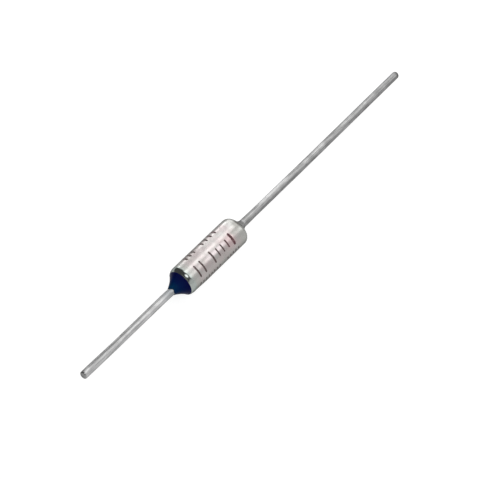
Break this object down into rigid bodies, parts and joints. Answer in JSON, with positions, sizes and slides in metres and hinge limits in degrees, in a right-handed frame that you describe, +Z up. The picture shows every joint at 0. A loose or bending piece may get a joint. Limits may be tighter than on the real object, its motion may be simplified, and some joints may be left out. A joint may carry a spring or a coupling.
{
  "type": "thermal fuse",
  "caption": "Axial thermal fuse: a round metal case with a rolled rim and a dark blue resin seal, a stiff wire lead at each end, and a pellet, springs and contact inside that open the circuit.",
  "frame": {"origin": "middle of the metal case, on its axis, halfway between the rolled rim and the closed end", "axes": "+X along the axis of the case and both leads, towards the closed end and its riveted lead; +Z up"},
  "size_m": [0.0636, 0.004, 0.004],
  "materials": {
    "plated_case": "satin",
    "tinned_wire": "satin",
    "white_ceramic": "matte",
    "blue_resin": "gloss",
    "spring_steel": "satin",
    "contact_silver": "polished",
    "disc_brass": "satin",
    "pellet_compound": "matte",
    "print_ink": "matte"
  },
  "bodies": {
    "root": {"case": "plated_case", "case_lead": "tinned_wire", "isolated_lead": "tinned_wire", "ceramic_bushing": "white_ceramic", "epoxy_seal": "blue_resin", "trip_spring": "spring_steel", "star_contact": "contact_silver", "front_disc": "disc_brass", "compression_spring": "spring_steel", "rear_disc": "disc_brass", "thermal_pellet": "pellet_compound"}
  },
  "joints": []
}
